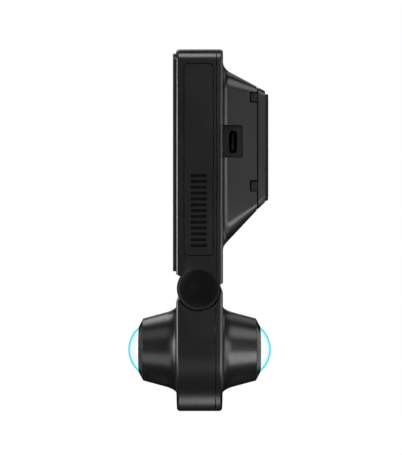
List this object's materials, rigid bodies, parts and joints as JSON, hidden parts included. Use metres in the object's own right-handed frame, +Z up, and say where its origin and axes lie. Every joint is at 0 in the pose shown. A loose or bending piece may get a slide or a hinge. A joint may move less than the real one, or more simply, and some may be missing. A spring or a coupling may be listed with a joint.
{
  "type": "dash cam",
  "caption": "Windscreen camera with a display, side vents, a tilting lens module that looks both ways, and a pull-off adhesive bracket.",
  "frame": {"origin": "centre of the adhesive pad's outer face", "axes": "+X out of the pad towards the windscreen, +Z up, the charging port is on the -Y side"},
  "size_m": [0.057, 0.0494, 0.1421],
  "materials": {
    "bracket_plastic": "satin black moulded",
    "foam_pad": "black closed-cell adhesive foam",
    "nickel": "nickel plated",
    "body_plastic": "satin black moulded",
    "display_glass": "polished black glass",
    "display_panel": "dark display",
    "frame_plastic": "moulded",
    "panel_plastic": "fine satin black moulded",
    "dust_gauze": "woven black gauze",
    "port_plastic": "black moulded",
    "port_steel": "drawn stainless",
    "circuit_board": "green solder mask",
    "chip_resin": "moulded resin",
    "thermal_rubber": "soft filled silicone",
    "sink_aluminium": "extruded",
    "brass_parts": "turned",
    "capacitor_sleeve": "shrink sleeve",
    "patch_ceramic": "fired ceramic",
    "black_steel": "black oxide",
    "screw_steel": "turned and plated",
    "spun_disc": "spun, black coated",
    "flex_film": "amber film",
    "ring_plastic": "satin black moulded",
    "dome_glass": "polished and coated",
    "barrel_plastic": "matt black",
    "seal_rubber": "moulded",
    "lens_glass": "polished and coated",
    "sensor_glass": "glass over silicon"
  },
  "bodies": {
    "bracket": {"mount_plate": "bracket_plastic", "adhesive_pad": "foam_pad", "bracket_magnets": "nickel"},
    "camera": {"front_housing": "body_plastic", "back_cover": "body_plastic", "display_glass": "display_glass", "display_panel": "display_panel", "mid_frame": "frame_plastic", "side_panel_near": "panel_plastic", "side_panel_far": "panel_plastic", "dust_screens": "dust_gauze", "port_block": "port_plastic", "usb_shell": "port_steel", "usb_tongue": "port_plastic", "main_board": "circuit_board", "processor": "chip_resin", "memory_chips": "chip_resin", "wifi_module": "port_steel", "thermal_pad": "thermal_rubber", "heat_sink": "sink_aluminium", "card_socket": "port_steel", "button_switch": "chip_resin", "speaker": "port_plastic", "microphone": "brass_parts", "power_board": "circuit_board", "supercapacitors": "capacitor_sleeve", "gps_antenna": "patch_ceramic", "camera_magnets": "nickel", "case_screws": "black_steel", "power_board_screws": "screw_steel", "hinge_disc_near": "spun_disc", "hinge_disc_far": "spun_disc", "hollow_pin": "screw_steel", "solid_pin": "screw_steel", "body_flex": "flex_film"},
    "lens_module": {"cabin_housing": "body_plastic", "road_housing": "body_plastic", "cabin_ring": "ring_plastic", "road_ring": "ring_plastic", "cabin_dome": "dome_glass", "road_dome": "dome_glass", "cabin_barrel": "barrel_plastic", "road_barrel": "barrel_plastic", "cabin_seal": "seal_rubber", "road_seal": "seal_rubber", "cabin_inner_lens": "lens_glass", "road_inner_lens": "lens_glass", "cabin_rear_lenses": "lens_glass", "road_rear_lenses": "lens_glass", "cabin_sensor": "sensor_glass", "road_sensor": "sensor_glass", "sensor_board": "circuit_board", "sensor_board_screws": "screw_steel", "hinge_bushes": "brass_parts", "friction_washers": "screw_steel", "module_flex": "flex_film"},
    "power_button": {"power_button": "panel_plastic"},
    "memory_card": {"memory_card": "chip_resin"}
  },
  "joints": [
    {"name": "mount_release", "type": "slide", "parent": "bracket", "child": "camera", "axis": [-1, 0, 0], "range_m": [0, 0.02]},
    {"name": "lens_tilt", "type": "hinge", "parent": "camera", "child": "lens_module", "pos_m": [-0.0272, 0, -0.0548], "axis": [0, 1, 0], "range_deg": [-8, 60]},
    {"name": "power_press", "type": "slide", "parent": "camera", "child": "power_button", "axis": [0, -1, 0], "range_m": [0, 0.0004], "stiffness_N_per_m": 1500},
    {"name": "card_slide", "type": "slide", "parent": "camera", "child": "memory_card", "axis": [0, 1, 0], "range_m": [0, 0.013]}
  ]
}
